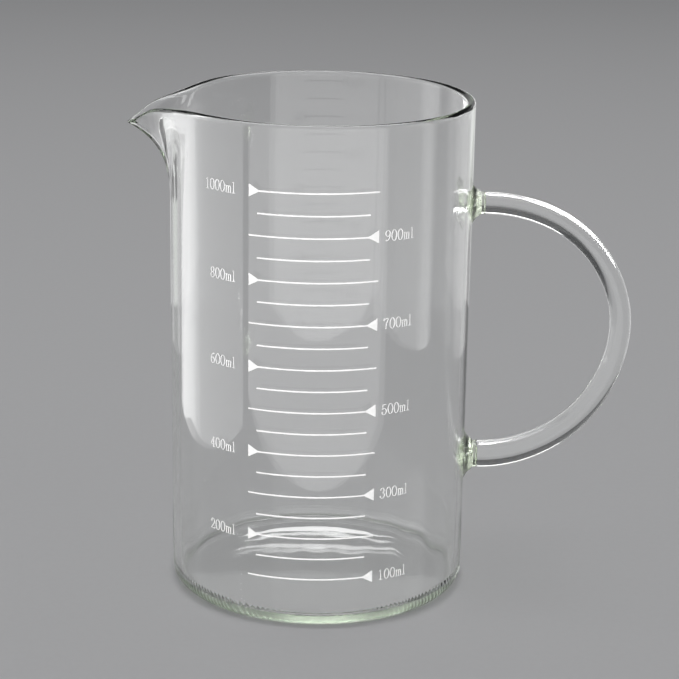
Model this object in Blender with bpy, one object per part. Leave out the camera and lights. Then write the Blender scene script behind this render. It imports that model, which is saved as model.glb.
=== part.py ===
"""One-litre measuring beaker in clear borosilicate glass, with a spout, a rod handle and a scale.

Frame: metres, +Z up.  The origin lies on the wall's axis, at the underside of the base.  +X points
to the handle, -X to the spout and -Y to the printed scale.  A bearing is an angle about the axis,
in degrees, counted from -Y towards +X.
"""
import math

import bmesh
import bpy
from mathutils import Vector

MM = 0.001
SHARP_ANGLE = 35.0
GAP = 0.3 * MM

# Vessel
OUTER_RADIUS = 50.0 * MM
WALL_THICKNESS = 2.8 * MM
FLOOR_THICKNESS = 2.9 * MM
HEIGHT = 166.8 * MM
HEEL_RADIUS = 4.2 * MM
INNER_CORNER_RADIUS = 3.0 * MM
HEEL_STEPS = 5
CORNER_STEPS = 4
RIM_STEPS = 6
FLARE_STEPS = 9
WALL_SEGMENTS = 104
CROWDING = 0.65

# Spout, pressed out of the wall: how far it reaches out and how it sags towards its nose
SPOUT_BEARING = -90.0
SPOUT_REACH = 14.8 * MM
SPOUT_DEPTH = 40.0 * MM
SPOUT_FLARE = 2.9
NOSE_RADIUS = 4.1 * MM
FLANK_HOLLOW = 1.6
NOSE_SAG = 5.8 * MM
NOSE_SAG_WIDTH = 5.75
SHOULDER_SAG = 3.2 * MM
SHOULDER_SAG_WIDTH = 25.0
LEAST_REACH = 0.001 * MM

# Handle, bent by hand from solid rod in the plane y = 0, so it leans outwards above its middle
BEND_X = 55.1 * MM
BEND_Z = 87.6 * MM
BEND_REACH = 46.2 * MM
BEND_HALF_HEIGHT = 44.2 * MM
BEND_LEAN = 1.0 * MM
BEND_STEPS = 32
ROD_RADIUS_TOP = 3.65 * MM
ROD_RADIUS_SIDE = 3.5 * MM
ROD_RADIUS_BOTTOM = 4.6 * MM
ROD_SIDES = 16
COLLAR_LENGTH = 4.2 * MM
COLLAR_FLARE = 3.6 * MM
COLLAR_EDGE = 0.5 * MM
COLLAR_SIDES = 24
COLLAR_FOOT_RINGS = 4
COLLAR_FILLET_STEPS = 5

# Printed scale, half a degree out of level as the print is rolled on
SCALE_BEARING = -2.65
SCALE_TILT = 0.5
STEP_ML = 50
HUNDRED_ML = 100
FIRST_ML = 100
LAST_ML = 1000
CUBIC_METRES_PER_ML = 1e-6
PRINT_THICKNESS = 0.1 * MM
LINE_WIDTH = 0.5 * MM
MINOR_HALF_LENGTH = 18.0 * MM
MAJOR_HALF_LENGTH = 20.9 * MM
ARROW_HEIGHT = 4.2 * MM
ARROW_LENGTH = 3.35 * MM
LINE_STEPS = 10

# Printed numbers
DIGIT_HEIGHT = 3.65 * MM
DIGIT_WIDTH = 1.75 * MM
DIGIT_PITCH = 2.2 * MM
UNIT_M_WIDTH = 2.4 * MM
UNIT_L_WIDTH = 1.3 * MM
UNIT_SPACE = 0.25 * MM
LOWER_CASE_HEIGHT = 0.66
FOOT_LEVEL = 0.04
STROKE_WIDTH = 0.4 * MM
HAIRLINE_WIDTH = 0.16 * MM
LEFT_CLEARANCE = 4.9 * MM
RIGHT_CLEARANCE = 2.0 * MM
CURVE_STEPS = 8
CLOSED_WITHIN = 1e-9


# ---------------------------------------------------------------- helpers

def polar(bearing, radius, z):
    """A point at a bearing and a radius about the vessel's axis."""
    angle = math.radians(bearing)
    return Vector((radius * math.sin(angle), -radius * math.cos(angle), z))


def ellipse(cx, cy, rx, ry, start, end, steps):
    """Points on an ellipse between two angles in degrees."""
    points = []
    for i in range(steps + 1):
        angle = math.radians(start + (end - start) * i / steps)
        points.append((cx + rx * math.cos(angle), cy + ry * math.sin(angle)))
    return points


def arc(cx, cy, radius, start, end, steps):
    """Points on a circle between two angles in degrees."""
    return ellipse(cx, cy, radius, radius, start, end, steps)


def add_object(name, mesh, material):
    """Link a mesh as a named object with its material, shaded smooth but for sharp edges."""
    mesh.materials.clear()
    mesh.materials.append(material)
    mesh.shade_smooth()
    mesh.set_sharp_from_angle(angle=math.radians(SHARP_ANGLE))
    body = bpy.data.objects.new(name, mesh)
    bpy.context.scene.collection.objects.link(body)
    return body


def skin(bm, rings):
    """Join consecutive rings of points with quads, and close the two ends."""
    rows = [[bm.verts.new(point) for point in ring] for ring in rings]
    count = len(rows[0])
    for low, high in zip(rows, rows[1:]):
        for i in range(count):
            j = (i + 1) % count
            bm.faces.new((low[i], low[j], high[j], high[i]))
    bm.faces.new(reversed(rows[0]))
    bm.faces.new(rows[-1])


def loft(name, rings, material):
    """One closed body through a list of rings."""
    bm = bmesh.new()
    skin(bm, rings)
    bmesh.ops.recalc_face_normals(bm, faces=bm.faces)
    mesh = bpy.data.meshes.new(name)
    bm.to_mesh(mesh)
    bm.free()
    return add_object(name, mesh, material)


# ---------------------------------------------------------------- materials

def principled(name, colour, roughness, transmission):
    """A Principled BSDF material without metal."""
    material = bpy.data.materials.new(name)
    material.use_nodes = True
    shader = material.node_tree.nodes["Principled BSDF"]
    shader.inputs["Base Color"].default_value = (*colour, 1.0)
    shader.inputs["Metallic"].default_value = 0.0
    shader.inputs["Roughness"].default_value = roughness
    shader.inputs["Transmission Weight"].default_value = transmission
    return material


# ---------------------------------------------------------------- vessel

def wall_profile():
    """The (r, z) outline of the glass, from the underside round the rim to the inner floor."""
    inner_radius = OUTER_RADIUS - WALL_THICKNESS
    rim_radius = WALL_THICKNESS / 2
    rim_centre = OUTER_RADIUS - rim_radius
    rim_z = HEIGHT - rim_radius
    heel_centre = OUTER_RADIUS - HEEL_RADIUS
    corner_centre = inner_radius - INNER_CORNER_RADIUS
    corner_z = FLOOR_THICKNESS + INNER_CORNER_RADIUS
    flare = [rim_z - SPOUT_DEPTH * i / FLARE_STEPS for i in range(FLARE_STEPS, 0, -1)]
    outline = arc(heel_centre, HEEL_RADIUS, HEEL_RADIUS, -90.0, 0.0, HEEL_STEPS)
    outline += [(OUTER_RADIUS, z) for z in flare]
    outline += arc(rim_centre, rim_z, rim_radius, 0.0, 180.0, RIM_STEPS)
    outline += [(inner_radius, z) for z in reversed(flare)]
    outline += arc(corner_centre, corner_z, INNER_CORNER_RADIUS, 0.0, -90.0, CORNER_STEPS)
    return outline


def flank_radius(off_centre, tip):
    """Radius of a line drawn tight round the wall and the spout's nose.

    off_centre is the angle from the spout's middle.  The nose is a small circle inside the
    radius tip, and the two flanks are straight lines that touch both circles.
    """
    turn = abs(math.radians(off_centre))
    centre = tip - NOSE_RADIUS
    flank = math.acos((OUTER_RADIUS - NOSE_RADIUS) / centre)
    nose = math.atan2(NOSE_RADIUS * math.sin(flank), centre + NOSE_RADIUS * math.cos(flank))
    if turn < nose:
        across = centre * math.sin(turn)
        return centre * math.cos(turn) + math.sqrt(NOSE_RADIUS ** 2 - across ** 2)
    if turn < flank:
        return OUTER_RADIUS / math.cos(flank - turn)
    return OUTER_RADIUS


def spout_shift(bearing, z):
    """How far the spout moves a point of the wall outwards and down."""
    off_centre = (bearing - SPOUT_BEARING + 180.0) % 360.0 - 180.0
    rise = max(0.0, 1.0 - (HEIGHT - z) / SPOUT_DEPTH)
    reach = SPOUT_REACH * rise ** SPOUT_FLARE
    if reach < LEAST_REACH:
        return 0.0, 0.0
    flank = flank_radius(off_centre, OUTER_RADIUS + reach) - OUTER_RADIUS
    outward = reach * (flank / reach) ** FLANK_HOLLOW
    sag = NOSE_SAG * math.exp(-(off_centre / NOSE_SAG_WIDTH) ** 2)
    sag += SHOULDER_SAG * math.exp(-(off_centre / SHOULDER_SAG_WIDTH) ** 2)
    return outward, sag * rise ** 2


def on_wall(bearing, radius, z):
    """A point of the vessel, moved where the spout takes it."""
    outward, down = spout_shift(bearing, z)
    return polar(bearing, radius + outward, z - down)


def vessel_bearings():
    """Bearings round the wall, crowded together across the spout."""
    bearings = []
    for i in range(WALL_SEGMENTS):
        turn = 2.0 * i / WALL_SEGMENTS - 1.0
        eased = turn - CROWDING * math.sin(math.pi * turn) / math.pi
        bearings.append(SPOUT_BEARING + 180.0 * eased)
    return bearings


def make_vessel(glass):
    """The blown cup with its spout, in one piece."""
    bearings = vessel_bearings()
    rings = [[on_wall(bearing, r, z) for bearing in bearings] for r, z in wall_profile()]
    return loft("vessel", rings, glass)


# ---------------------------------------------------------------- handle

def rod_radius(bend):
    """Radius of the rod at an angle of its bend, 90 at the top joint and -90 at the bottom one."""
    ends = ROD_RADIUS_TOP if bend > 0.0 else ROD_RADIUS_BOTTOM
    share = math.sin(math.radians(bend)) ** 2
    return ROD_RADIUS_SIDE + (ends - ROD_RADIUS_SIDE) * share


def rod_ring(x, z, lift, radius):
    """A ring of the rod round a point in the plane y = 0; lift is its outward side's angle."""
    ring = []
    for i in range(ROD_SIDES):
        turn = 2.0 * math.pi * i / ROD_SIDES
        out = radius * math.cos(turn)
        y = radius * math.sin(turn)
        ring.append(Vector((x + out * math.cos(lift), y, z + out * math.sin(lift))))
    return ring


def bend_point(bend):
    """Centre of the rod and the angle of its outward side, at an angle of its bend."""
    angle = math.radians(bend)
    x = BEND_X + BEND_REACH * math.cos(angle) + BEND_LEAN * math.sin(2.0 * angle)
    z = BEND_Z + BEND_HALF_HEIGHT * math.sin(angle)
    along_x = BEND_REACH * math.sin(angle) - 2.0 * BEND_LEAN * math.cos(2.0 * angle)
    along_z = BEND_HALF_HEIGHT * math.cos(angle)
    return x, z, math.atan2(along_x, along_z)


def make_handle_rod(glass):
    """A hand-bent half loop of rod with a short straight stub at each end."""
    start_x = OUTER_RADIUS + COLLAR_LENGTH + GAP
    quarter_turn = math.pi / 2
    rings = [rod_ring(start_x, BEND_Z + BEND_HALF_HEIGHT, quarter_turn, ROD_RADIUS_TOP)]
    for i in range(BEND_STEPS + 1):
        bend = 90.0 - 180.0 * i / BEND_STEPS
        x, z, lift = bend_point(bend)
        rings.append(rod_ring(x, z, lift, rod_radius(bend)))
    rings.append(rod_ring(start_x, BEND_Z - BEND_HALF_HEIGHT, -quarter_turn, ROD_RADIUS_BOTTOM))
    return loft("handle_rod", rings, glass)


def collar_ring(radius, out, z, on_curve):
    """A ring round the rod's line; on_curve lays it on the wall instead of on a flat plane."""
    flat_x = OUTER_RADIUS + GAP
    ring = []
    for i in range(COLLAR_SIDES):
        turn = 2.0 * math.pi * i / COLLAR_SIDES
        y = radius * math.cos(turn)
        wall_x = math.sqrt(flat_x ** 2 - y ** 2)
        x = flat_x + (wall_x - flat_x) * on_curve + out
        ring.append(Vector((x, y, z + radius * math.sin(turn))))
    return ring


def make_weld_collar(name, z, end_radius, glass):
    """A trumpet of melted glass between the wall and the end of the rod."""
    foot_radius = end_radius + COLLAR_FLARE
    fillet_length = COLLAR_LENGTH - GAP - COLLAR_EDGE
    rings = []
    for i in range(COLLAR_FOOT_RINGS):
        rings.append(collar_ring(foot_radius * (i + 1) / COLLAR_FOOT_RINGS, 0.0, z, 1.0))
    rings.append(collar_ring(foot_radius, COLLAR_EDGE, z, 1.0))
    for i in range(1, COLLAR_FILLET_STEPS + 1):
        share = i / COLLAR_FILLET_STEPS
        flare = COLLAR_FLARE * (1.0 - math.sqrt(1.0 - (1.0 - share) ** 2))
        out = COLLAR_EDGE + fillet_length * share
        rings.append(collar_ring(end_radius + flare, out, z, 1.0 - share))
    return loft(name, rings, glass)


# ---------------------------------------------------------------- printed scale

def mark_height(volume_ml):
    """Height of the liquid's surface above the underside, for a volume."""
    inner_radius = OUTER_RADIUS - WALL_THICKNESS
    depth = volume_ml * CUBIC_METRES_PER_ML / (math.pi * inner_radius ** 2)
    return FLOOR_THICKNESS + depth


def on_print(x, y, depth, volume_ml):
    """Place a point of the flat artwork on the wall.

    x runs to the right from the middle of the scale, y up from a mark's level.
    """
    tilt = math.radians(SCALE_TILT)
    bearing = SCALE_BEARING + math.degrees(x / OUTER_RADIUS)
    return polar(bearing, OUTER_RADIUS + GAP + depth, mark_height(volume_ml) + y + x * math.tan(tilt))


def film_section(x, half_height, volume_ml):
    """Four corners of the printed film across a mark."""
    return [
        on_print(x, -half_height, 0.0, volume_ml),
        on_print(x, -half_height, PRINT_THICKNESS, volume_ml),
        on_print(x, half_height, PRINT_THICKNESS, volume_ml),
        on_print(x, half_height, 0.0, volume_ml),
    ]


def number_is_left(volume_ml):
    """Even hundreds have their number on the left, odd hundreds on the right."""
    return volume_ml % (2 * HUNDRED_ML) == 0


def make_graduation(volume_ml, enamel):
    """A line across the scale; every hundred ends in an arrowhead on its number's side."""
    is_hundred = volume_ml % HUNDRED_ML == 0
    side = -1.0 if number_is_left(volume_ml) else 1.0
    far_end = -(MAJOR_HALF_LENGTH if is_hundred else MINOR_HALF_LENGTH)
    near_end = -far_end
    sections = []
    if is_hundred:
        sections.append(film_section(side * near_end, ARROW_HEIGHT / 2, volume_ml))
        near_end -= ARROW_LENGTH
    for i in range(LINE_STEPS + 1):
        x = near_end + (far_end - near_end) * i / LINE_STEPS
        sections.append(film_section(side * x, LINE_WIDTH / 2, volume_ml))
    return loft(f"graduation_{volume_ml}ml", sections, enamel)


# ---------------------------------------------------------------- printed numbers

def bow(cx, cy, rx, ry, start, end):
    """Points of a curved stroke."""
    return ellipse(cx, cy, rx, ry, start, end, CURVE_STEPS)


def strokes_of(character):
    """Centre lines of a character's strokes, in a box one unit wide and one unit high."""
    shapes = {
        "0": [bow(0.5, 0.5, 0.42, 0.46, 90, 450)],
        "1": [[(0.22, 0.8), (0.5, 0.95), (0.5, 0.05)], [(0.15, FOOT_LEVEL), (0.85, FOOT_LEVEL)]],
        "2": [bow(0.5, 0.7, 0.38, 0.26, 170, -30) + [(0.1, FOOT_LEVEL), (0.92, FOOT_LEVEL)]],
        "3": [bow(0.48, 0.73, 0.36, 0.23, 160, -90), bow(0.48, 0.27, 0.42, 0.23, 90, -160)],
        "4": [[(0.98, 0.3), (0.08, 0.3), (0.68, 0.95), (0.68, 0.0)]],
        "5": [[(0.85, 0.96), (0.2, 0.96), (0.16, 0.52)] + bow(0.48, 0.32, 0.42, 0.28, 130, -160)],
        "6": [bow(0.5, 0.29, 0.4, 0.25, 0, 360), bow(0.72, 0.42, 0.62, 0.54, 185, 100)],
        "7": [[(0.08, 0.96), (0.9, 0.96), (0.4, 0.0)]],
        "8": [bow(0.5, 0.73, 0.34, 0.23, 0, 360), bow(0.5, 0.27, 0.4, 0.23, 0, 360)],
        "9": [bow(0.5, 0.71, 0.4, 0.25, 0, 360), bow(0.28, 0.58, 0.62, 0.54, 5, -80)],
        "m": [
            [(0.14, 0.98), (0.14, 0.0)],
            bow(0.32, 0.66, 0.18, 0.3, 180, 0) + [(0.5, 0.0)],
            bow(0.68, 0.66, 0.18, 0.3, 180, 0) + [(0.86, 0.0)],
        ],
        "l": [[(0.25, 0.94), (0.5, 0.98), (0.5, 0.05)], [(0.12, FOOT_LEVEL), (0.88, FOOT_LEVEL)]],
    }
    return shapes[character]


def add_stroke(bm, points, width):
    """A flat bar of film along a line of points; a line that ends where it began is a loop."""
    is_loop = math.dist(points[0], points[-1]) < CLOSED_WITHIN
    line = [Vector(point) for point in (points[:-1] if is_loop else points)]
    count = len(line)
    left = []
    right = []
    for i, point in enumerate(line):
        before = line[i - 1] if is_loop or i > 0 else point
        after = line[(i + 1) % count] if is_loop or i < count - 1 else point
        into = (point - before).normalized() if point != before else (after - point).normalized()
        away = (after - point).normalized() if after != point else into
        tangent = (into + away).normalized()
        normal = Vector((-tangent.y, tangent.x)) * (width / 2) / max(0.5, tangent.dot(into))
        left.append(point + normal)
        right.append(point - normal)
    sections = []
    for a, b in zip(left, right):
        sections.append([bm.verts.new((p.x, p.y, h)) for p, h in
                         ((a, 0.0), (b, 0.0), (b, PRINT_THICKNESS), (a, PRINT_THICKNESS))])
    pairs = list(zip(sections, sections[1:]))
    if is_loop:
        pairs.append((sections[-1], sections[0]))
    else:
        bm.faces.new(reversed(sections[0]))
        bm.faces.new(sections[-1])
    for low, high in pairs:
        for i in range(4):
            j = (i + 1) % 4
            bm.faces.new((low[i], low[j], high[j], high[i]))


def character_box(character):
    """Width, height and advance of a character."""
    if character == "m":
        return UNIT_M_WIDTH, DIGIT_HEIGHT * LOWER_CASE_HEIGHT, UNIT_M_WIDTH + UNIT_SPACE
    if character == "l":
        return UNIT_L_WIDTH, DIGIT_HEIGHT, UNIT_L_WIDTH
    return DIGIT_WIDTH, DIGIT_HEIGHT, DIGIT_PITCH


def flat_strokes(text):
    """All strokes of a label as one flat mesh, with the label's length."""
    bm = bmesh.new()
    x = 0.0
    for character in text:
        width, height, advance = character_box(character)
        for stroke in strokes_of(character):
            add_stroke(bm, [(x + u * width, v * height) for u, v in stroke], STROKE_WIDTH)
        x += advance
    bmesh.ops.recalc_face_normals(bm, faces=bm.faces)
    mesh = bpy.data.meshes.new("strokes")
    bm.to_mesh(mesh)
    bm.free()
    return mesh, x


def hairline(length):
    """The thin line of enamel along the foot of a label, which joins its characters."""
    bm = bmesh.new()
    y = FOOT_LEVEL * DIGIT_HEIGHT
    add_stroke(bm, [(UNIT_SPACE, y), (length - UNIT_SPACE, y)], HAIRLINE_WIDTH)
    bmesh.ops.recalc_face_normals(bm, faces=bm.faces)
    mesh = bpy.data.meshes.new("hairline")
    bm.to_mesh(mesh)
    bm.free()
    return mesh


def joined_film(strokes, line):
    """Union of a label's overlapping strokes and its hairline, as a new mesh."""
    body = bpy.data.objects.new("strokes", strokes)
    tool = bpy.data.objects.new("hairline", line)
    for item in (body, tool):
        bpy.context.scene.collection.objects.link(item)
    union = body.modifiers.new("union", "BOOLEAN")
    union.operation = "UNION"
    union.solver = "EXACT"
    union.use_self = True
    union.object = tool
    depsgraph = bpy.context.evaluated_depsgraph_get()
    mesh = bpy.data.meshes.new_from_object(body.evaluated_get(depsgraph))
    for item in (body, tool):
        bpy.data.objects.remove(item)
    return mesh


def make_label(volume_ml, enamel):
    """A number and its unit, wrapped round the wall beside its graduation."""
    strokes, length = flat_strokes(f"{volume_ml}ml")
    mesh = joined_film(strokes, hairline(length))
    start = MAJOR_HALF_LENGTH + RIGHT_CLEARANCE
    if number_is_left(volume_ml):
        start = -MAJOR_HALF_LENGTH - LEFT_CLEARANCE - length
    for vertex in mesh.vertices:
        x, y, depth = vertex.co
        vertex.co = on_print(start + x, y - DIGIT_HEIGHT / 2, depth, volume_ml)
    return add_object(f"label_{volume_ml}ml", mesh, enamel)


# ---------------------------------------------------------------- beaker

def main():
    """Clear the scene and make every piece."""
    for item in list(bpy.data.objects):
        bpy.data.objects.remove(item)
    glass = principled("clear_glass", (0.93, 0.97, 0.95), 0.03, 1.0)
    enamel = principled("white_enamel", (0.88, 0.88, 0.87), 0.4, 0.0)
    make_vessel(glass)
    make_handle_rod(glass)
    make_weld_collar("upper_weld_collar", BEND_Z + BEND_HALF_HEIGHT, ROD_RADIUS_TOP, glass)
    make_weld_collar("lower_weld_collar", BEND_Z - BEND_HALF_HEIGHT, ROD_RADIUS_BOTTOM, glass)
    for volume_ml in range(FIRST_ML, LAST_ML + 1, STEP_ML):
        make_graduation(volume_ml, enamel)
        if volume_ml % HUNDRED_ML == 0:
            make_label(volume_ml, enamel)


main()
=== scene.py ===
"""Looks of a one-litre glass measuring beaker with a spout, a rod handle and a printed scale.

Metres, +Z up.  +X points to the handle, -X to the spout and -Y to the scale.  A bearing is an
angle about the vessel's axis, in degrees, counted from -Y towards +X.
"""
import math
import random

import bmesh
import bpy
import numpy as np
from mathutils import Matrix, Vector


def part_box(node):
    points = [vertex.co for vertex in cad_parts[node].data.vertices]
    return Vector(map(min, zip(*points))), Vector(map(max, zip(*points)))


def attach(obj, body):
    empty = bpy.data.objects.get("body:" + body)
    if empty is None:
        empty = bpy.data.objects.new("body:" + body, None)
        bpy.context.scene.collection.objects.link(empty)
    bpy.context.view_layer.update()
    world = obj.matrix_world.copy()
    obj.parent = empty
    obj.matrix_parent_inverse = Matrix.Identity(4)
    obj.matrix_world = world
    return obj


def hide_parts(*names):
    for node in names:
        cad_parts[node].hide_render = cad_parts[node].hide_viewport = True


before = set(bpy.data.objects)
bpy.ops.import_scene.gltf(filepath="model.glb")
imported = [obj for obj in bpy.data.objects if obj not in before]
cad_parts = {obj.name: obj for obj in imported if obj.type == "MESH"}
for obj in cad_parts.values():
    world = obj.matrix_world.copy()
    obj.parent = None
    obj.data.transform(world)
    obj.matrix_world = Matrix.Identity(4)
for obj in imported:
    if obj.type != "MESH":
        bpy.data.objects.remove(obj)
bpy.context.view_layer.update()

MM = 0.001

# ---------------------------------------------------------------- sizes read from the frame

VESSEL_LOW, VESSEL_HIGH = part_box("vessel")
HANDLE_LOW, HANDLE_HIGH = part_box("handle_rod")
UPPER_LOW, UPPER_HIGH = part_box("upper_weld_collar")
LOWER_LOW, LOWER_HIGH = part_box("lower_weld_collar")
OUTER_RADIUS = VESSEL_HIGH.x
HEIGHT = VESSEL_HIGH.z
UPPER_Z = (UPPER_LOW.z + UPPER_HIGH.z) / 2
LOWER_Z = (LOWER_LOW.z + LOWER_HIGH.z) / 2
COLLAR_END_X = UPPER_HIGH.x
ROD_RADIUS_TOP = HANDLE_HIGH.z - UPPER_Z
ROD_RADIUS_BOTTOM = LOWER_Z - HANDLE_LOW.z
COLLAR_FLARE = (UPPER_HIGH.z - UPPER_LOW.z) / 2 - ROD_RADIUS_TOP
LOW_ML, HIGH_ML = 150, 950
LOW_MARK_Z = sum(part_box(f"graduation_{LOW_ML}ml"), Vector()).z / 2
HIGH_MARK_Z = sum(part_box(f"graduation_{HIGH_ML}ml"), Vector()).z / 2

# ---------------------------------------------------------------- sizes the boxes can't give

# Vessel and spout, as in the CAD
WALL_THICKNESS = 2.8 * MM
FLOOR_THICKNESS = 2.9 * MM
HEEL_RADIUS = 4.2 * MM
INNER_CORNER_RADIUS = 3.0 * MM
SPOUT_BEARING = -90.0
SPOUT_REACH = 14.8 * MM
SPOUT_DEPTH = 40.0 * MM
SPOUT_FLARE = 2.9
NOSE_RADIUS = 4.1 * MM
FLANK_HOLLOW = 1.6
NOSE_SAG = 5.8 * MM
NOSE_SAG_WIDTH = 5.75
SHOULDER_SAG = 3.2 * MM
SHOULDER_SAG_WIDTH = 25.0
LEAST_REACH = 0.0001 * MM

# Handle, as in the CAD
BEND_X = 55.1 * MM
BEND_LEAN = 1.0 * MM
ROD_RADIUS_SIDE = 3.5 * MM

# Fineness of the glass
WALL_SEGMENTS = 400
CROWDING = 0.5
FLARE_RINGS = 60
WALL_RINGS = 24
FLOOR_RINGS = 14
BEND_STEPS = 300
ROD_SIDES = 96
COLLAR_SIDES = 160
COLLAR_RINGS = 36
HEEL_STEPS = 16
RIM_STEPS = 8
CORNER_STEPS = 14
ARROW_STEPS = 8

# Signs of hand work, which the CAD leaves out
WAVE_DRIFT = 25.0
WAVE_FADE_HEIGHT = 4.0 * HEEL_RADIUS
WAVE_CALMING = 0.25
INNER_DOME = 0.30 * MM
UNDERSIDE_HOLLOW = 0.35 * MM
ROD_SHAKE = 0.12 * MM
ROD_SHAKE_TURNS = 7.0
ROD_SHAKE_PHASE = 0.6
COLLAR_BEAD = 0.45 * MM
COLLAR_FOLD = 0.30 * MM
COLLAR_FOLD_COUNTS = (6, 10, 14, 18)
COLLAR_FOLD_MIDDLE = 0.64
COLLAR_LIP = 0.68
COLLAR_LIP_FALL = 0.03
COLLAR_BEAD_PLACE = 0.8 * COLLAR_LIP
COLLAR_BEAD_LENGTH = 0.15
COLLAR_FLARE_CURVE = 1.6
COLLAR_CAP_SHARES = (0.3, 0.6, 0.85)
COLLAR_SINK = 0.15 * MM
ROD_SINK = 0.1 * MM
TONGUE_LENGTH = 1.6 * MM
TONGUE_WIDTH = 13.0
TONGUE_CURVE = 8
TONGUES = ((90.0, 1.0), (270.0, 1.25))
HEEL_TEETH = 170
TEETH_TOP = 1.5 * HEEL_RADIUS
TEETH_FULL = 0.7 * HEEL_RADIUS
TOOTH_DEPTH = 0.5 * MM
TOOTH_SLANT = 1.2 / MM
TOOTH_UNEVENNESS = 40.0
ROD_RIDGES = ((2, 0.030 * MM, 0.4), (5, 0.012 * MM, 1.9), (9, 0.007 * MM, 4.1), (14, 0.004 * MM, 0.8))

# Printed scale, as in the CAD
SCALE_BEARING = -2.65
SCALE_TILT = 0.5
FIRST_ML = 100
LAST_ML = 1000
STEP_ML = 50
HUNDRED_ML = 100
LINE_WIDTH = 0.5 * MM
MINOR_HALF_LENGTH = 18.0 * MM
MAJOR_HALF_LENGTH = 20.9 * MM
ARROW_HEIGHT = 4.2 * MM
ARROW_LENGTH = 3.35 * MM
DIGIT_HEIGHT = 3.65 * MM
DIGIT_WIDTH = 2.05 * MM
DIGIT_PITCH = 2.2 * MM
UNIT_M_WIDTH = 2.45 * MM
UNIT_L_WIDTH = 1.35 * MM
UNIT_SPACE = 0.15 * MM
LOWER_CASE_HEIGHT = 0.64
LEFT_CLEARANCE = 4.9 * MM
RIGHT_CLEARANCE = 2.0 * MM

# Enamel film and the pen that draws the numbers: broad across, fine along
FILM_GAP = 0.012 * MM
FILM_THICKNESS = 0.045 * MM
PEN_BROAD = 0.18 * MM
PEN_FINE = 0.075 * MM
BALL_RADIUS = 0.24 * MM
FOOT_LEVEL = 0.03
CURVE_STEPS = 14
LINE_STEPS = 48
LINE_UNEVENNESS = (0.9, 1.05)
MITRE_LIMIT = 0.6
MARK_SHARP_ANGLE = 40.0

# Stage and camera
STAGE_HALF = 4.0
STAGE_DROP = 0.02 * MM
CAMERA_PLACE = Vector((1.67, -689.99, 296.64)) * MM
CAMERA_YAW = 0.418
CAMERA_PITCH = 17.153
CAMERA_ROLL = 0.892
SENSOR_WIDTH = 36.0
LENS = 113.15

# Glass: index of refraction, tints and how strongly they colour a metre of path
GLASS_IOR = 1.473
CLEAR_TINT = (0.80, 0.92, 0.74)
CLEAR_DENSITY = 6.0
WELD_TINT = (0.72, 0.82, 0.60)
WELD_DENSITY = 80.0

# Other looks
NOISE_LOW = 0.3
NOISE_HIGH = 0.7
ENAMEL_COLOURS = ((0.80, 0.80, 0.79), (0.92, 0.92, 0.91))
FLOOR_COLOURS = ((0.735, 0.735, 0.745), (0.745, 0.745, 0.755))
WORLD_COLOUR = (0.95, 0.97, 1.0)
WORLD_STRENGTH = 0.08

# Reflectors: what each matt bounce takes from the count of reflections, which hides the lamp
OFF_MATT = -100.0

# Arched strips of light: the lamp's height, its centre above the arch's middle, and the soft edge
CRESCENT_HEIGHT = 0.03
CRESCENT_LIFT = 0.008
CRESCENT_SOFTNESS = 0.8 * MM


# ---------------------------------------------------------------- geometry helpers

def polar(bearing, radius, z):
    """Points at bearings and radii about the vessel's axis, one row each."""
    angle = np.radians(bearing)
    return np.stack(np.broadcast_arrays(radius * np.sin(angle), -radius * np.cos(angle), z), -1)


def ellipse(cx, cy, rx, ry, start, end, steps):
    """Points on an ellipse between two angles in degrees."""
    points = []
    for i in range(steps + 1):
        angle = math.radians(start + (end - start) * i / steps)
        points.append((cx + rx * math.cos(angle), cy + ry * math.sin(angle)))
    return points


def arc(cx, cy, radius, start, end, steps):
    """Points on a circle between two angles in degrees."""
    return ellipse(cx, cy, radius, radius, start, end, steps)


def skin(name, rings):
    """A closed smooth mesh through rings of points, each end closed by a fan."""
    count = len(rings[0])
    points = [tuple(point) for ring in rings for point in ring]
    first = len(points)
    points.append(tuple(np.mean(rings[0], axis=0)))
    points.append(tuple(np.mean(rings[-1], axis=0)))
    last_row = (len(rings) - 1) * count
    faces = []
    for i in range(count):
        j = (i + 1) % count
        faces.append((j, i, first))
        faces.append((last_row + i, last_row + j, first + 1))
        for row in range(0, last_row, count):
            faces.append((row + i, row + j, row + count + j, row + count + i))
    mesh = bpy.data.meshes.new(name)
    mesh.from_pydata(points, [], faces)
    face_outwards(mesh)
    mesh.shade_smooth()
    return mesh


def face_outwards(mesh):
    """Turn all faces of a closed mesh outwards."""
    bm = bmesh.new()
    bm.from_mesh(mesh)
    bmesh.ops.recalc_face_normals(bm, faces=bm.faces)
    bm.to_mesh(mesh)
    bm.free()


def add_piece(name, mesh, material, slot, *nodes):
    """Show a mesh as a piece that stands for CAD nodes."""
    piece = bpy.data.objects.new(name, mesh)
    bpy.context.scene.collection.objects.link(piece)
    mesh.materials.append(material)
    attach(piece, "root")
    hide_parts(*nodes)
    return piece


# ---------------------------------------------------------------- waves in the glass

def draw_waves(seed, lowest, highest, slope):
    """Waves round the wall, each as its count, size, phase and drift with height."""
    dice = random.Random(seed)
    waves = []
    for count in range(lowest, highest + 1, 3):
        size = slope * OUTER_RADIUS / count * dice.uniform(0.4, 1.0)
        waves.append((count, size, dice.uniform(0.0, 2.0 * math.pi), dice.uniform(-WAVE_DRIFT, WAVE_DRIFT)))
    return waves


OUTER_WAVES = draw_waves(11, 3, 24, 0.006)
INNER_WAVES = draw_waves(23, 4, 28, 0.007)


def wave_height(waves, bearing, z):
    """How far the waves lift the wall's surface; they fade out at the foot."""
    angle = np.radians(bearing)
    lift = np.zeros_like(angle)
    for count, size, phase, drift in waves:
        lift = lift + size * np.cos(count * angle + phase + drift * z)
    fade = np.clip((z - HEEL_RADIUS) / WAVE_FADE_HEIGHT, 0.0, 1.0)
    return lift * fade


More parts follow.
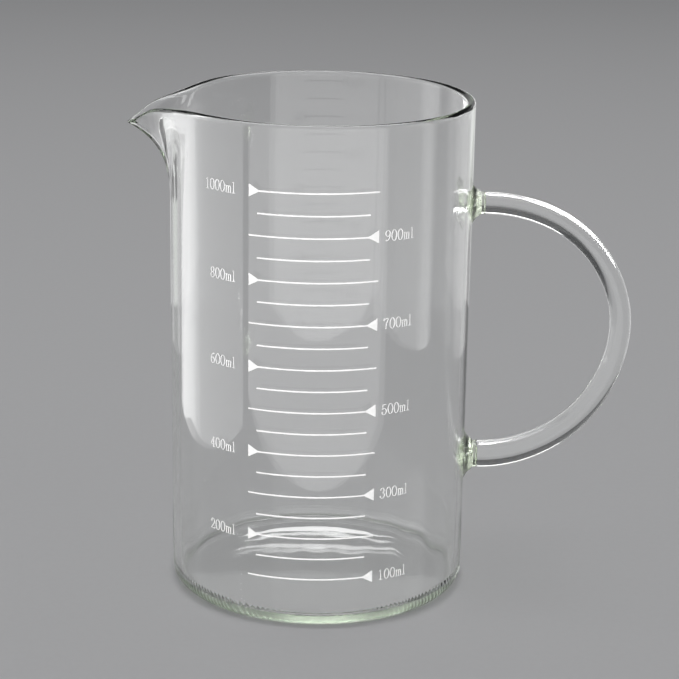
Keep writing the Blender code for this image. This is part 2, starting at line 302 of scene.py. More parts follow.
# ---------------------------------------------------------------- vessel

def flank_radius(off_centre, tip):
    """Radius of a line drawn tight round the wall and the spout's nose."""
    turn = np.abs(np.radians(off_centre))
    centre = tip - NOSE_RADIUS
    flank = math.acos((OUTER_RADIUS - NOSE_RADIUS) / centre)
    nose = math.atan2(NOSE_RADIUS * math.sin(flank), centre + NOSE_RADIUS * math.cos(flank))
    across = np.minimum(centre * np.sin(turn), NOSE_RADIUS)
    round_nose = centre * np.cos(turn) + np.sqrt(NOSE_RADIUS ** 2 - across ** 2)
    straight = OUTER_RADIUS / np.cos(flank - turn)
    beside = np.where(turn < flank, straight, OUTER_RADIUS)
    return np.where(turn < nose, round_nose, beside)


def spout_shift(bearing, z):
    """How far the spout moves points of the wall outwards and down."""
    off_centre = (bearing - SPOUT_BEARING + 180.0) % 360.0 - 180.0
    rise = max(0.0, 1.0 - (HEIGHT - z) / SPOUT_DEPTH)
    reach = SPOUT_REACH * rise ** SPOUT_FLARE
    if reach < LEAST_REACH:
        return np.zeros_like(bearing), np.zeros_like(bearing)
    flank = flank_radius(off_centre, OUTER_RADIUS + reach) - OUTER_RADIUS
    outward = reach * (np.maximum(flank, 0.0) / reach) ** FLANK_HOLLOW
    sag = NOSE_SAG * np.exp(-(off_centre / NOSE_SAG_WIDTH) ** 2)
    sag += SHOULDER_SAG * np.exp(-(off_centre / SHOULDER_SAG_WIDTH) ** 2)
    return outward, sag * rise ** 2


def wall_ring(bearings, radius, z, waves):
    """A ring of the vessel, moved where the spout takes it and waved, least on the spout."""
    outward, down = spout_shift(bearings, z)
    lift = wave_height(waves, bearings, z) / (1.0 + WAVE_CALMING * outward / MM)
    return polar(bearings, radius + outward + lift, z - down)


def vessel_bearings():
    """Bearings round the wall, crowded together across the spout."""
    turn = 2.0 * np.arange(WALL_SEGMENTS) / WALL_SEGMENTS - 1.0
    eased = turn - CROWDING * np.sin(math.pi * turn) / math.pi
    return SPOUT_BEARING + 180.0 * eased


def wall_heights():
    """Heights of the rings up the wall, close together under the rim."""
    rim_z = HEIGHT - WALL_THICKNESS / 2
    corner_z = FLOOR_THICKNESS + INNER_CORNER_RADIUS
    flare_z = rim_z - SPOUT_DEPTH
    low = np.linspace(corner_z, flare_z, WALL_RINGS, endpoint=False)
    high = np.linspace(flare_z, rim_z, FLARE_RINGS, endpoint=False)
    return [*low[1:], *high]


def make_vessel(glass):
    """The blown cup with its spout."""
    bearings = vessel_bearings()
    inner_radius = OUTER_RADIUS - WALL_THICKNESS
    rim_radius = WALL_THICKNESS / 2
    rim_z = HEIGHT - rim_radius
    heel_centre = OUTER_RADIUS - HEEL_RADIUS
    corner_centre = inner_radius - INNER_CORNER_RADIUS
    corner_z = FLOOR_THICKNESS + INNER_CORNER_RADIUS
    shares = [(i + 1) / FLOOR_RINGS for i in range(FLOOR_RINGS - 1)]
    outer = [(heel_centre * share, UNDERSIDE_HOLLOW * (1.0 - share ** 2)) for share in shares]
    outer += arc(heel_centre, HEEL_RADIUS, HEEL_RADIUS, -90.0, 0.0, HEEL_STEPS)
    outer += [(OUTER_RADIUS, z) for z in wall_heights()]
    outer += arc(OUTER_RADIUS - rim_radius, rim_z, rim_radius, 0.0, 90.0, RIM_STEPS)
    inner = arc(OUTER_RADIUS - rim_radius, rim_z, rim_radius, 90.0, 180.0, RIM_STEPS)[1:]
    inner += [(inner_radius, z) for z in reversed(wall_heights())]
    inner += arc(corner_centre, corner_z, INNER_CORNER_RADIUS, 0.0, -90.0, CORNER_STEPS)
    for share in reversed(shares):
        inner.append((corner_centre * share, FLOOR_THICKNESS + INNER_DOME * (1.0 - share ** 2)))
    rings = [wall_ring(bearings, r, z, OUTER_WAVES) for r, z in outer]
    rings += [wall_ring(bearings, r, z, INNER_WAVES) for r, z in inner]
    return add_piece("vessel_glass", skin("vessel_glass", rings), glass, "clear_glass", "vessel")


# ---------------------------------------------------------------- handle

def rod_ring(x, z, lift, radius):
    """A ring of the rod round a point in the plane y = 0; lift is its outward side's angle.

    Shallow ridges run along the whole rod, as drawn glass has them.
    """
    turn = 2.0 * math.pi * np.arange(ROD_SIDES) / ROD_SIDES
    ridged = radius + np.zeros_like(turn)
    for count, size, phase in ROD_RIDGES:
        ridged += size * np.cos(count * turn + phase)
    out = ridged * np.cos(turn)
    side = ridged * np.sin(turn)
    return np.stack((x + out * math.cos(lift), side, z + out * math.sin(lift)), -1)


def make_handle_rod(glass):
    """The hand-bent half loop of solid rod, its ends just inside the collars."""
    middle_z = (UPPER_Z + LOWER_Z) / 2
    half_height = (UPPER_Z - LOWER_Z) / 2
    bend_reach = HANDLE_HIGH.x - BEND_X - ROD_RADIUS_SIDE
    start_x = COLLAR_END_X - ROD_SINK
    rings = [rod_ring(start_x, UPPER_Z, math.pi / 2, ROD_RADIUS_TOP)]
    for i in range(BEND_STEPS + 1):
        angle = math.pi / 2 - math.pi * i / BEND_STEPS
        x = BEND_X + bend_reach * math.cos(angle) + BEND_LEAN * math.sin(2.0 * angle)
        z = middle_z + half_height * math.sin(angle)
        along_x = bend_reach * math.sin(angle) - 2.0 * BEND_LEAN * math.cos(2.0 * angle)
        lift = math.atan2(along_x, half_height * math.cos(angle))
        ends = ROD_RADIUS_TOP if angle > 0.0 else ROD_RADIUS_BOTTOM
        radius = ROD_RADIUS_SIDE + (ends - ROD_RADIUS_SIDE) * math.sin(angle) ** 2
        shake = ROD_SHAKE * math.cos(angle) * math.sin(ROD_SHAKE_TURNS * angle + ROD_SHAKE_PHASE)
        x += shake * math.cos(lift)
        z += shake * math.sin(lift)
        rings.append(rod_ring(x, z, lift, radius))
    rings.append(rod_ring(start_x, LOWER_Z, -math.pi / 2, ROD_RADIUS_BOTTOM))
    return add_piece("handle_glass", skin("handle_glass", rings), glass, "clear_glass", "handle_rod")


def collar_radius(turn, share, end_radius, folds):
    """Radius of a weld at a share of its length: a flared foot, a bead and sharp folds."""
    crinkle = np.zeros_like(turn)
    for count, size, phase, drift in folds:
        crinkle += size * (COLLAR_FOLD_MIDDLE - np.abs(np.sin((count * turn + phase + drift * share) / 2.0)))
    tongues = np.zeros_like(turn)
    for bearing, length in TONGUES:
        off = np.degrees(turn) - bearing
        tongues += length * np.exp(-(off / TONGUE_WIDTH) ** 2)
    left = max(0.0, 1.0 - share / COLLAR_LIP)
    flare = COLLAR_FLARE * left ** COLLAR_FLARE_CURVE + TONGUE_LENGTH * tongues * left ** TONGUE_CURVE
    bead = COLLAR_BEAD * math.exp(-((share - COLLAR_BEAD_PLACE) / COLLAR_BEAD_LENGTH) ** 2)
    swell = 1.0 / (1.0 + math.exp((share - COLLAR_LIP) / COLLAR_LIP_FALL))
    return end_radius + flare + swell * (bead + COLLAR_FOLD * crinkle)


def make_weld_collar(name, node, z, end_radius, seed, glass):
    """A crinkled trumpet of melted glass between the wall and the end of the rod."""
    dice = random.Random(seed)
    folds = []
    for count in COLLAR_FOLD_COUNTS:
        size = dice.uniform(0.5, 1.0)
        folds.append((count, size, dice.uniform(0.0, 6.3), dice.uniform(3.0, 8.0)))
    turn = 2.0 * math.pi * np.arange(COLLAR_SIDES) / COLLAR_SIDES
    sunk_radius = OUTER_RADIUS - COLLAR_SINK
    rings = []
    for share in COLLAR_CAP_SHARES:
        radius = share * collar_radius(turn, 0.0, end_radius, folds)
        y = radius * np.cos(turn)
        rings.append(np.stack((np.sqrt(sunk_radius ** 2 - y ** 2), y, z + radius * np.sin(turn)), -1))
    for i in range(COLLAR_RINGS + 1):
        share = i / COLLAR_RINGS
        radius = collar_radius(turn, share, end_radius, folds)
        y = radius * np.cos(turn)
        wall_x = np.sqrt(sunk_radius ** 2 - y ** 2)
        x = wall_x * (1.0 - share) + COLLAR_END_X * share
        rings.append(np.stack((x, y, z + radius * np.sin(turn)), -1))
    return add_piece(name, skin(name, rings), glass, "clear_glass", node)


# ---------------------------------------------------------------- printed scale

def mark_height(volume_ml):
    """Height of a mark, read between two of the CAD's marks."""
    return LOW_MARK_Z + (HIGH_MARK_Z - LOW_MARK_Z) * (volume_ml - LOW_ML) / (HIGH_ML - LOW_ML)


def on_print(x, y, depth, volume_ml):
    """Lay a point of the flat artwork on the wall's outside."""
    bearing = np.array([SCALE_BEARING + math.degrees(x / OUTER_RADIUS)])
    z = mark_height(volume_ml) + y + x * math.tan(math.radians(SCALE_TILT))
    radius = OUTER_RADIUS + wave_height(OUTER_WAVES, bearing, z) + FILM_GAP + depth
    return polar(bearing, radius, z)[0]


def number_is_left(volume_ml):
    """Even hundreds have their number on the left, odd hundreds on the right."""
    return volume_ml % (2 * HUNDRED_ML) == 0


def film_section(x, half_height, volume_ml):
    """Four corners of the enamel film across a mark."""
    return [
        on_print(x, -half_height, 0.0, volume_ml),
        on_print(x, -half_height, FILM_THICKNESS, volume_ml),
        on_print(x, half_height, FILM_THICKNESS, volume_ml),
        on_print(x, half_height, 0.0, volume_ml),
    ]


def make_graduation(volume_ml, enamel):
    """A line across the scale; every hundred ends in an arrowhead on its number's side."""
    is_hundred = volume_ml % HUNDRED_ML == 0
    side = -1.0 if number_is_left(volume_ml) else 1.0
    far_end = -(MAJOR_HALF_LENGTH if is_hundred else MINOR_HALF_LENGTH)
    near_end = -far_end
    dice = random.Random(volume_ml)
    sections = []
    if is_hundred:
        for i in range(ARROW_STEPS + 1):
            share = i / ARROW_STEPS
            half = ARROW_HEIGHT / 2 * (1.0 - share) + LINE_WIDTH / 2 * share
            sections.append(film_section(side * (near_end - ARROW_LENGTH * share), half, volume_ml))
        near_end -= ARROW_LENGTH
    first = 1 if is_hundred else 0
    for i in range(first, LINE_STEPS + 1):
        x = near_end + (far_end - near_end) * i / LINE_STEPS
        half = LINE_WIDTH / 2 * dice.uniform(*LINE_UNEVENNESS)
        sections.append(film_section(side * x, half, volume_ml))
    node = f"graduation_{volume_ml}ml"
    mesh = skin("mark_" + node, sections)
    mesh.set_sharp_from_angle(angle=math.radians(MARK_SHARP_ANGLE))
    return add_piece(f"printed_line_{volume_ml}ml", mesh, enamel, "white_enamel", node)


# ---------------------------------------------------------------- printed numbers

def bow(cx, cy, rx, ry, start, end):
    """Points of a curved stroke."""
    return ellipse(cx, cy, rx, ry, start, end, CURVE_STEPS)


def serif(x, half):
    """The foot of an upright stroke."""
    return [(x - half, FOOT_LEVEL), (x + half, FOOT_LEVEL)]


def strokes_of(character):
    """Centre lines of a character's strokes in a unit box, and the balls at their ends."""
    shapes = {
        "0": ([bow(0.5, 0.5, 0.41, 0.48, 90, 450)], []),
        "1": ([[(0.2, 0.83), (0.5, 0.95), (0.5, FOOT_LEVEL)], serif(0.5, 0.34)], []),
        "2": ([bow(0.48, 0.72, 0.34, 0.25, 165, -35) + [(0.12, 0.06)],
               [(0.1, 0.05), (0.86, 0.05), (0.9, 0.18)]], [(0.2, 0.76)]),
        "3": ([bow(0.47, 0.74, 0.31, 0.23, 150, -85), bow(0.46, 0.27, 0.38, 0.25, 88, -155)],
              [(0.22, 0.82), (0.16, 0.19)]),
        "4": ([[(0.64, 0.95), (0.08, 0.28), (0.96, 0.28)], [(0.66, 0.95), (0.66, FOOT_LEVEL)],
               serif(0.66, 0.22)], []),
        "5": ([[(0.26, 0.94), (0.84, 0.94)],
               [(0.26, 0.94), (0.2, 0.5)] + bow(0.46, 0.31, 0.38, 0.28, 135, -155)], [(0.16, 0.2)]),
        "6": ([bow(0.5, 0.29, 0.36, 0.26, 0, 360), bow(0.8, 0.32, 0.68, 0.64, 183, 103)], [(0.72, 0.88)]),
        "7": ([[(0.12, 0.76), (0.14, 0.94), (0.88, 0.94)],
               [(0.86, 0.93), (0.54, 0.5), (0.46, FOOT_LEVEL)]], []),
        "8": ([bow(0.5, 0.74, 0.3, 0.23, 0, 360), bow(0.5, 0.26, 0.37, 0.24, 0, 360)], []),
        "9": ([bow(0.5, 0.71, 0.36, 0.26, 0, 360), bow(0.2, 0.68, 0.68, 0.64, 3, -77)], [(0.26, 0.12)]),
        "m": ([[(0.02, 0.93), (0.16, 0.97), (0.16, FOOT_LEVEL)],
               [(0.16, 0.7)] + bow(0.33, 0.7, 0.17, 0.26, 130, 0) + [(0.5, FOOT_LEVEL)],
               [(0.5, 0.7)] + bow(0.67, 0.7, 0.17, 0.26, 130, 0) + [(0.84, FOOT_LEVEL)],
               serif(0.16, 0.13), serif(0.5, 0.13), serif(0.84, 0.13)], []),
        "l": ([[(0.2, 0.93), (0.5, 0.98), (0.5, FOOT_LEVEL)], serif(0.5, 0.42)], []),
    }
    return shapes[character]


def pen_half_width(direction):
    """Half the width of a stroke in a direction, drawn by an oval pen."""
    across = Vector((-direction.y, direction.x))
    return math.hypot(PEN_BROAD * across.x, PEN_FINE * across.y)


def add_prism(bm, left, right, is_loop):
    """A flat bar of film between two lines of points."""
    sections = []
    for a, b in zip(left, right):
        corners = ((a, 0.0), (b, 0.0), (b, FILM_THICKNESS), (a, FILM_THICKNESS))
        sections.append([bm.verts.new((p.x, p.y, height)) for p, height in corners])
    pairs = list(zip(sections, sections[1:]))
    if is_loop:
        pairs.append((sections[-1], sections[0]))
    else:
        bm.faces.new(reversed(sections[0]))
        bm.faces.new(sections[-1])
    for low, high in pairs:
        for i in range(4):
            j = (i + 1) % 4
            bm.faces.new((low[i], low[j], high[j], high[i]))


def add_stroke(bm, points):
    """A pen stroke along a line of points; a line that ends where it began is a loop."""
    is_loop = math.dist(points[0], points[-1]) < LEAST_REACH
    line = [Vector(point) for point in (points[:-1] if is_loop else points)]
    count = len(line)
    left = []
    right = []
    for i, point in enumerate(line):
        before = line[i - 1] if is_loop or i > 0 else point
        after = line[(i + 1) % count] if is_loop or i < count - 1 else point
        into = (point - before).normalized() if point != before else (after - point).normalized()
        away = (after - point).normalized() if after != point else into
        tangent = (into + away).normalized()
        half = pen_half_width(tangent) / max(MITRE_LIMIT, tangent.dot(into))
        normal = Vector((-tangent.y, tangent.x)) * half
        left.append(point + normal)
        right.append(point - normal)
    add_prism(bm, left, right, is_loop)


def add_ball(bm, centre):
    """A round drop of enamel at a stroke's end."""
    rim = arc(centre.x, centre.y, BALL_RADIUS, 0.0, 360.0, CURVE_STEPS)[:-1]
    low = [bm.verts.new((x, y, 0.0)) for x, y in rim]
    high = [bm.verts.new((x, y, FILM_THICKNESS)) for x, y in rim]
    for i in range(len(rim)):
        j = (i + 1) % len(rim)
        bm.faces.new((low[i], low[j], high[j], high[i]))
    bm.faces.new(reversed(low))
    bm.faces.new(high)


def character_box(character):
    """Width, height and advance of a character."""
    if character == "m":
        return UNIT_M_WIDTH, DIGIT_HEIGHT * LOWER_CASE_HEIGHT, UNIT_M_WIDTH + UNIT_SPACE
    if character == "l":
        return UNIT_L_WIDTH, DIGIT_HEIGHT, UNIT_L_WIDTH
    return DIGIT_WIDTH, DIGIT_HEIGHT, DIGIT_PITCH


def flat_number(text):
    """All strokes of a number as one flat mesh, with the number's length."""
    bm = bmesh.new()
    x = 0.0
    for character in text:
        width, height, advance = character_box(character)
        strokes, balls = strokes_of(character)
        for stroke in strokes:
            add_stroke(bm, [(x + u * width, v * height) for u, v in stroke])
        for u, v in balls:
            add_ball(bm, Vector((x + u * width, v * height)))
        x += advance
    bmesh.ops.recalc_face_normals(bm, faces=bm.faces)
    mesh = bpy.data.meshes.new("strokes")
    bm.to_mesh(mesh)
    bm.free()
    return mesh, x


def united(mesh):
    """The union of a mesh's overlapping strokes, as a new mesh."""
    body = bpy.data.objects.new("strokes", mesh)
    tool = bpy.data.objects.new("nothing", bpy.data.meshes.new("nothing"))
    for item in (body, tool):
        bpy.context.scene.collection.objects.link(item)
    union = body.modifiers.new("union", "BOOLEAN")
    union.operation = "UNION"
    union.solver = "EXACT"
    union.use_self = True
    union.object = tool
    result = bpy.data.meshes.new_from_object(body.evaluated_get(bpy.context.evaluated_depsgraph_get()))
    for item in (body, tool):
        bpy.data.objects.remove(item)
    return result


def make_number(volume_ml, enamel):
    """A number and its unit, wrapped round the wall beside its mark."""
    strokes, length = flat_number(f"{volume_ml}ml")
    mesh = united(strokes)
    start = MAJOR_HALF_LENGTH + RIGHT_CLEARANCE
    if number_is_left(volume_ml):
        start = -MAJOR_HALF_LENGTH - LEFT_CLEARANCE - length
    for vertex in mesh.vertices:
        x, y, depth = vertex.co
        vertex.co = on_print(start + x, y - DIGIT_HEIGHT / 2, depth, volume_ml)
    return add_piece(f"printed_number_{volume_ml}ml", mesh, enamel, "white_enamel", f"label_{volume_ml}ml")


# ---------------------------------------------------------------- materials

def new_material(name):
    """A material with its Principled shader, its nodes and its links."""
    material = bpy.data.materials.new(name)
    material.use_nodes = True
    tree = material.node_tree
    return material, tree.nodes["Principled BSDF"], tree.nodes, tree.links


def stretched_noise(nodes, links, scale, detail, stretch):
    """A noise pattern in object space, drawn out by a factor for each axis."""
    place = nodes.new("ShaderNodeTexCoord")
    mapping = nodes.new("ShaderNodeMapping")
    mapping.inputs["Scale"].default_value = stretch
    noise = nodes.new("ShaderNodeTexNoise")
    noise.inputs["Scale"].default_value = scale
    noise.inputs["Detail"].default_value = detail
    links.new(place.outputs["Object"], mapping.inputs["Vector"])
    links.new(mapping.outputs["Vector"], noise.inputs["Vector"])
    return noise


def mottled(nodes, links, noise, first, second):
    """A colour that wanders between two colours with a noise."""
    colour = nodes.new("ShaderNodeMix")
    colour.data_type = "RGBA"
    colour.inputs["A"].default_value = (*first, 1.0)
    colour.inputs["B"].default_value = (*second, 1.0)
    links.new(spread(nodes, links, noise, 0.0, 1.0), colour.inputs["Factor"])
    return colour.outputs["Result"]


def spread(nodes, links, source, low, high):
    """A noise's value spread between two numbers."""
    ramp = nodes.new("ShaderNodeMapRange")
    ramp.inputs["From Min"].default_value = NOISE_LOW
    ramp.inputs["From Max"].default_value = NOISE_HIGH
    ramp.inputs["To Min"].default_value = low
    ramp.inputs["To Max"].default_value = high
    links.new(source.outputs["Fac"], ramp.inputs["Value"])
    return ramp.outputs["Result"]


def math_node(nodes, links, operation, first, second):
    """The result of a Math node; its inputs are numbers or other nodes' outputs."""
    node = nodes.new("ShaderNodeMath")
    node.operation = operation
    for socket, value in zip(node.inputs, (first, second)):
        if isinstance(value, float):
            socket.default_value = value
        else:
            links.new(value, socket)
    return node.outputs["Value"]


def heel_teeth(nodes, links):
    """Slanted uneven ripples that the mould leaves in the heel, in two patches at the front."""
    def calc(operation, first, second=0.0):
        return math_node(nodes, links, operation, first, second)

    place = nodes.new("ShaderNodeTexCoord")
    apart = nodes.new("ShaderNodeSeparateXYZ")
    links.new(place.outputs["Object"], apart.inputs["Vector"])
    x, y, z = apart.outputs
    uneven = stretched_noise(nodes, links, 40.0, 2.0, (1.0, 1.0, 0.1)).outputs["Fac"]

    bearing = calc("ARCTAN2", y, x)
    astray = calc("MULTIPLY", uneven, TOOTH_UNEVENNESS)
    ripple = calc("ADD", calc("MULTIPLY", bearing, float(HEEL_TEETH)), astray)
    wave = calc("SINE", calc("ADD", ripple, calc("MULTIPLY", z, TOOTH_SLANT)))

    band = nodes.new("ShaderNodeMapRange")
    band.inputs["From Min"].default_value = TEETH_TOP
    band.inputs["From Max"].default_value = TEETH_FULL
    links.new(z, band.inputs["Value"])
    off_axis = calc("ADD", calc("MULTIPLY", x, x), calc("MULTIPLY", y, y))
    outside = calc("GREATER_THAN", off_axis, (OUTER_RADIUS - HEEL_RADIUS) ** 2)

    quarters = calc("SINE", calc("MULTIPLY", bearing, 2.0))
    front = calc("MAXIMUM", calc("DIVIDE", y, -OUTER_RADIUS))
    patches = calc("MULTIPLY", calc("MULTIPLY", quarters, quarters), front)
    strength = calc("MULTIPLY", band.outputs["Result"], calc("MULTIPLY", patches, uneven))
    return calc("MULTIPLY", wave, calc("MULTIPLY", strength, outside))


def glass_material(name, tint, density, wave_strength, has_teeth=False):
    """Borosilicate glass: slightly waved and wiped, tinted only where it is thick."""
    material, shader, nodes, links = new_material(name)
    shader.inputs["Base Color"].default_value = (1.0, 1.0, 1.0, 1.0)
    shader.inputs["Transmission Weight"].default_value = 1.0
    shader.inputs["IOR"].default_value = GLASS_IOR
    wiped = stretched_noise(nodes, links, 60.0, 3.0, (1.0, 1.0, 0.4))
    links.new(spread(nodes, links, wiped, 0.0, 0.02), shader.inputs["Roughness"])
    waves = stretched_noise(nodes, links, 90.0, 1.0, (1.0, 1.0, 0.15))
    bump = nodes.new("ShaderNodeBump")
    bump.inputs["Strength"].default_value = wave_strength
    bump.inputs["Distance"].default_value = 0.1 * MM
    links.new(waves.outputs["Fac"], bump.inputs["Height"])
    if has_teeth:
        teeth = nodes.new("ShaderNodeBump")
        teeth.inputs["Distance"].default_value = TOOTH_DEPTH
        links.new(heel_teeth(nodes, links), teeth.inputs["Height"])
        links.new(bump.outputs["Normal"], teeth.inputs["Normal"])
        bump = teeth
    links.new(bump.outputs["Normal"], shader.inputs["Normal"])
    absorption = nodes.new("ShaderNodeVolumeAbsorption")
    absorption.inputs["Color"].default_value = (*tint, 1.0)
    absorption.inputs["Density"].default_value = density
    links.new(absorption.outputs["Volume"], nodes["Material Output"].inputs["Volume"])
    return material


def enamel_material():
    """White fired enamel, satin and slightly uneven."""
    material, shader, nodes, links = new_material("white_enamel")
    mottle = stretched_noise(nodes, links, 900.0, 4.0, (1.0, 1.0, 1.0))
    colour = mottled(nodes, links, mottle, *ENAMEL_COLOURS)
    links.new(colour, shader.inputs["Base Color"])
    links.new(spread(nodes, links, mottle, 0.35, 0.5), shader.inputs["Roughness"])
    bump = nodes.new("ShaderNodeBump")
    bump.inputs["Strength"].default_value = 0.3
    bump.inputs["Distance"].default_value = 0.02 * MM
    links.new(mottle.outputs["Fac"], bump.inputs["Height"])
    links.new(bump.outputs["Normal"], shader.inputs["Normal"])
    return material


def floor_material():
    """Plain pale matt board."""
    material, shader, nodes, links = new_material("pale_floor")
    fibres = stretched_noise(nodes, links, 400.0, 3.0, (1.0, 1.0, 1.0))
    colour = mottled(nodes, links, fibres, *FLOOR_COLOURS)
    links.new(colour, shader.inputs["Base Color"])
    shader.inputs["Roughness"].default_value = 0.9
    shader.inputs["Specular IOR Level"].default_value = 0.0
    return material


# ---------------------------------------------------------------- stage, light and camera

def make_floor():
    """A wide pale floor just under the base."""
    mesh = bpy.data.meshes.new("floor")
    corners = ((-1, -1), (1, -1), (1, 1), (-1, 1))
    mesh.from_pydata([(STAGE_HALF * x, STAGE_HALF * y, -STAGE_DROP) for x, y in corners], [], [(0, 1, 2, 3)])
    floor = bpy.data.objects.new("floor", mesh)
    bpy.context.scene.collection.objects.link(floor)
    mesh.materials.append(floor_material())


def softbox(name, place, target, width, height, radiance):
    """A soft light that faces a point and lights everything."""
    light = bpy.data.lights.new(name, "AREA")
    light.shape = "RECTANGLE"
    light.size = width
    light.size_y = height
    light.energy = radiance * math.pi * width * height
    lamp = bpy.data.objects.new(name, light)
    lamp.location = place
    lamp.rotation_euler = (Vector(target) - Vector(place)).to_track_quat("-Z", "Y").to_euler()
    bpy.context.scene.collection.objects.link(lamp)
    return lamp


def reflector(name, place, target, width, height, radiance, least_bounces, pieces=()):
    """A softbox that shows only in glass, after at least so many reflections.

    It lights only the pieces it is given, or else all the glass.
    """
    lamp = softbox(name, place, target, width, height, radiance)
    lamp.visible_camera = False
    lamp.visible_diffuse = False
    lamp.data.use_nodes = True
    nodes = lamp.data.node_tree.nodes
    links = lamp.data.node_tree.links
    path = nodes.new("ShaderNodeLightPath")
    matt = math_node(nodes, links, "MULTIPLY", path.outputs["Diffuse Depth"], OFF_MATT)
    count = math_node(nodes, links, "ADD", path.outputs["Glossy Depth"], matt)
    seen = math_node(nodes, links, "GREATER_THAN", count, least_bounces - 0.5)
    links.new(seen, nodes["Emission"].inputs["Strength"])
    if pieces:
        light_only(lamp, pieces)
    return lamp


def crescent(name, y, z, rise, reach, half_thickness, radiance):
    """An upright arched strip behind the beaker, which the base mirrors as a crescent."""
    middle = z + CRESCENT_LIFT
    lamp = reflector(name, (0.0, y, middle), (0.0, 0.0, middle), 2.0 * reach, CRESCENT_HEIGHT, radiance, 1)
    nodes = lamp.data.node_tree.nodes
    links = lamp.data.node_tree.links

    def calc(operation, first, second=0.0):
        return math_node(nodes, links, operation, first, second)

    place = nodes.new("ShaderNodeNewGeometry")
    apart = nodes.new("ShaderNodeSeparateXYZ")
    links.new(place.outputs["Position"], apart.inputs["Vector"])
    across = calc("MULTIPLY", apart.outputs["X"], apart.outputs["X"])
    arch = calc("ADD", calc("MULTIPLY", across, rise), z)
    off_arch = calc("ABSOLUTE", calc("SUBTRACT", apart.outputs["Z"], arch))
    room = calc("ADD", calc("MULTIPLY", across, -half_thickness / reach ** 2), half_thickness)
    inside = nodes.new("ShaderNodeMapRange")
    inside.inputs["From Max"].default_value = CRESCENT_SOFTNESS
    links.new(calc("SUBTRACT", room, off_arch), inside.inputs["Value"])
    strength = nodes["Emission"].inputs["Strength"]
    seen = strength.links[0].from_socket
    links.new(calc("MULTIPLY", inside.outputs["Result"], seen), strength)


def light_only(lamp, pieces):
    """Let a lamp light only some pieces."""
    receivers = bpy.data.collections.new(lamp.name + "_receivers")
    for piece in pieces:
        receivers.objects.link(piece)
    lamp.light_linking.receiver_collection = receivers
    return receivers


def make_lights(print_pieces, handle_pieces, weld_pieces, vessel_pieces):
    """Soft studio light: a ceiling, fills for the print and reflectors for the glass."""
    low = (0.0, 0.0, 0.08)
    softbox("ceiling", (0.0, 0.0, 1.6), low, 2.6, 2.6, 0.85)
    for name, y, radiance in (("front_fill", -0.95, 5.0), ("back_fill", 0.95, 3.0)):
        fill = softbox(name, (-0.15, y, 0.38), low, 1.3, 0.6, radiance)
        fill.visible_camera = False
        fill.light_linking.blocker_collection = light_only(fill, print_pieces)

    for name, place, width, height in (
        ("top_panel", (-0.05, 0.2, 0.85), 0.8, 0.4),
        ("shoulder_panel", (0.6, 0.2, 0.6), 0.5, 0.8),
    ):
        reflector(name + "_on_handle", place, low, width, height, 25.0, 1, handle_pieces)
        reflector(name + "_on_welds", place, low, width, height, 5.0, 0, weld_pieces)
    reflector("rim_panel", (-0.05, 0.2, 0.85), low, 0.9, 0.3, 4.0, 0, vessel_pieces)
    for name, x, y in (("front", 0.0, -0.8), ("back", 0.0, 0.8), ("left", -0.8, 0.0), ("right", 0.8, 0.0)):
        reflector(name + "_strip", (x, y, 0.12), (0.0, 0.0, 0.12), 1.0, 0.05, 2.5, 1, vessel_pieces)
    reflector("left_panel", (-0.8, 0.1, 0.55), low, 0.3, 0.7, 6.0, 0, handle_pieces)
    reflector("back_panel", (0.1, 0.75, 0.65), low, 1.2, 0.1, 4.0, 0, handle_pieces + weld_pieces)

    for name, (x, y, z), (to_x, to_y), width, height, radiance in (
        ("left_card", (-0.19, -0.01, 0.14), (0.0, -0.01), 0.25, 0.28, 1.1),
        ("left_bright_card", (-0.189, 0.06, 0.14), (0.0, 0.06), 0.07, 0.28, 0.7),
        ("front_card", (-0.02, -0.172, 0.15), (-0.02, 0.0), 0.385, 0.3, 1.3),
        ("left_edge_card", (-0.2, 0.2, 0.12), (0.0, 0.0), 0.15, 0.24, 0.2),
        ("right_edge_card", (0.2, 0.2, 0.12), (0.0, 0.0), 0.15, 0.24, 0.2),
        ("back_card", (0.02, 0.12, 0.13), (0.02, 0.0), 0.2, 0.14, 0.35),
    ):
        reflector(name, (x, y, z), (to_x, to_y, z), width, height, radiance, 1)
    crescent("far_crescent", 0.3, 0.106, 3.2, 0.053, 2.5 * MM, 5.0)
    crescent("near_crescent", 0.305, 0.121, 1.7, 0.066, 2.0 * MM, 3.0)


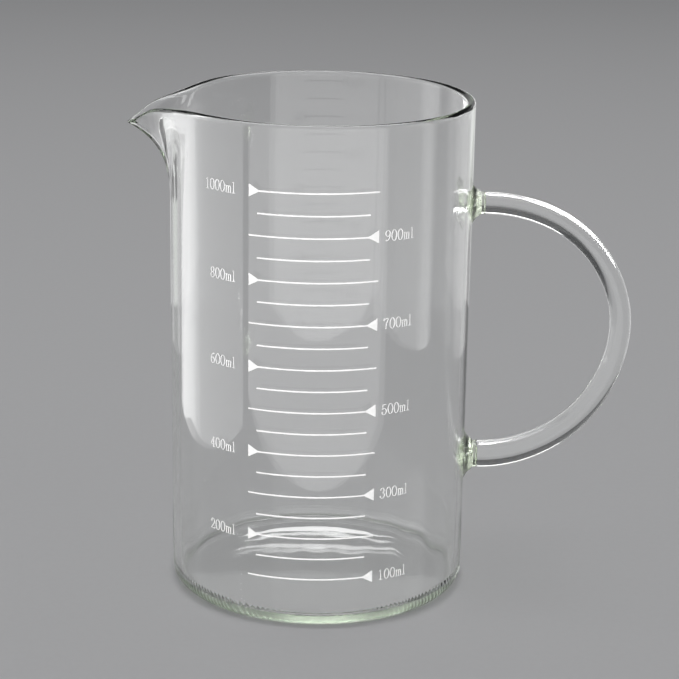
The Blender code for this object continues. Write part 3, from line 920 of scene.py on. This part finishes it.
def make_world():
    """Dim even light from all round."""
    world = bpy.data.worlds.new("studio")
    world.use_nodes = True
    background = world.node_tree.nodes["Background"]
    background.inputs["Color"].default_value = (*WORLD_COLOUR, 1.0)
    background.inputs["Strength"].default_value = WORLD_STRENGTH
    bpy.context.scene.world = world


def make_camera():
    """The camera, at the height and angle of a person who looks down at the beaker."""
    yaw = math.radians(CAMERA_YAW)
    pitch = math.radians(CAMERA_PITCH)
    roll = math.radians(CAMERA_ROLL)
    data = bpy.data.cameras.new("camera")
    data.sensor_width = SENSOR_WIDTH
    data.lens = LENS
    camera = bpy.data.objects.new("camera", data)
    aim = Matrix.Rotation(-yaw, 4, "Z") @ Matrix.Rotation(math.pi / 2 - pitch, 4, "X")
    turn = aim @ Matrix.Rotation(roll, 4, "Z")
    camera.matrix_world = Matrix.Translation(CAMERA_PLACE) @ turn
    bpy.context.scene.collection.objects.link(camera)
    bpy.context.scene.camera = camera


# ---------------------------------------------------------------- beaker

def main():
    """Make every piece, the stage, the lights and the camera."""
    make_camera()
    make_world()
    make_floor()
    blown = glass_material("blown_glass", CLEAR_TINT, CLEAR_DENSITY, 0.09, has_teeth=True)
    drawn = glass_material("drawn_glass", CLEAR_TINT, CLEAR_DENSITY, 0.06)
    weld = glass_material("weld_glass", WELD_TINT, WELD_DENSITY, 0.5)
    enamel = enamel_material()
    vessel = make_vessel(blown)
    handle = make_handle_rod(drawn)
    upper = make_weld_collar("upper_weld", "upper_weld_collar", UPPER_Z, ROD_RADIUS_TOP, 5, weld)
    lower = make_weld_collar("lower_weld", "lower_weld_collar", LOWER_Z, ROD_RADIUS_BOTTOM, 8, weld)
    print_pieces = []
    for volume_ml in range(FIRST_ML, LAST_ML + 1, STEP_ML):
        print_pieces.append(make_graduation(volume_ml, enamel))
        if volume_ml % HUNDRED_ML == 0:
            print_pieces.append(make_number(volume_ml, enamel))
    make_lights(print_pieces, [handle], [upper, lower], [vessel])
    bpy.context.scene.view_settings.view_transform = "Standard"
    cycles = bpy.context.scene.cycles
    cycles.blur_glossy = 0.0
    cycles.max_bounces = 32
    cycles.glossy_bounces = 24
    cycles.transmission_bounces = 32


main()
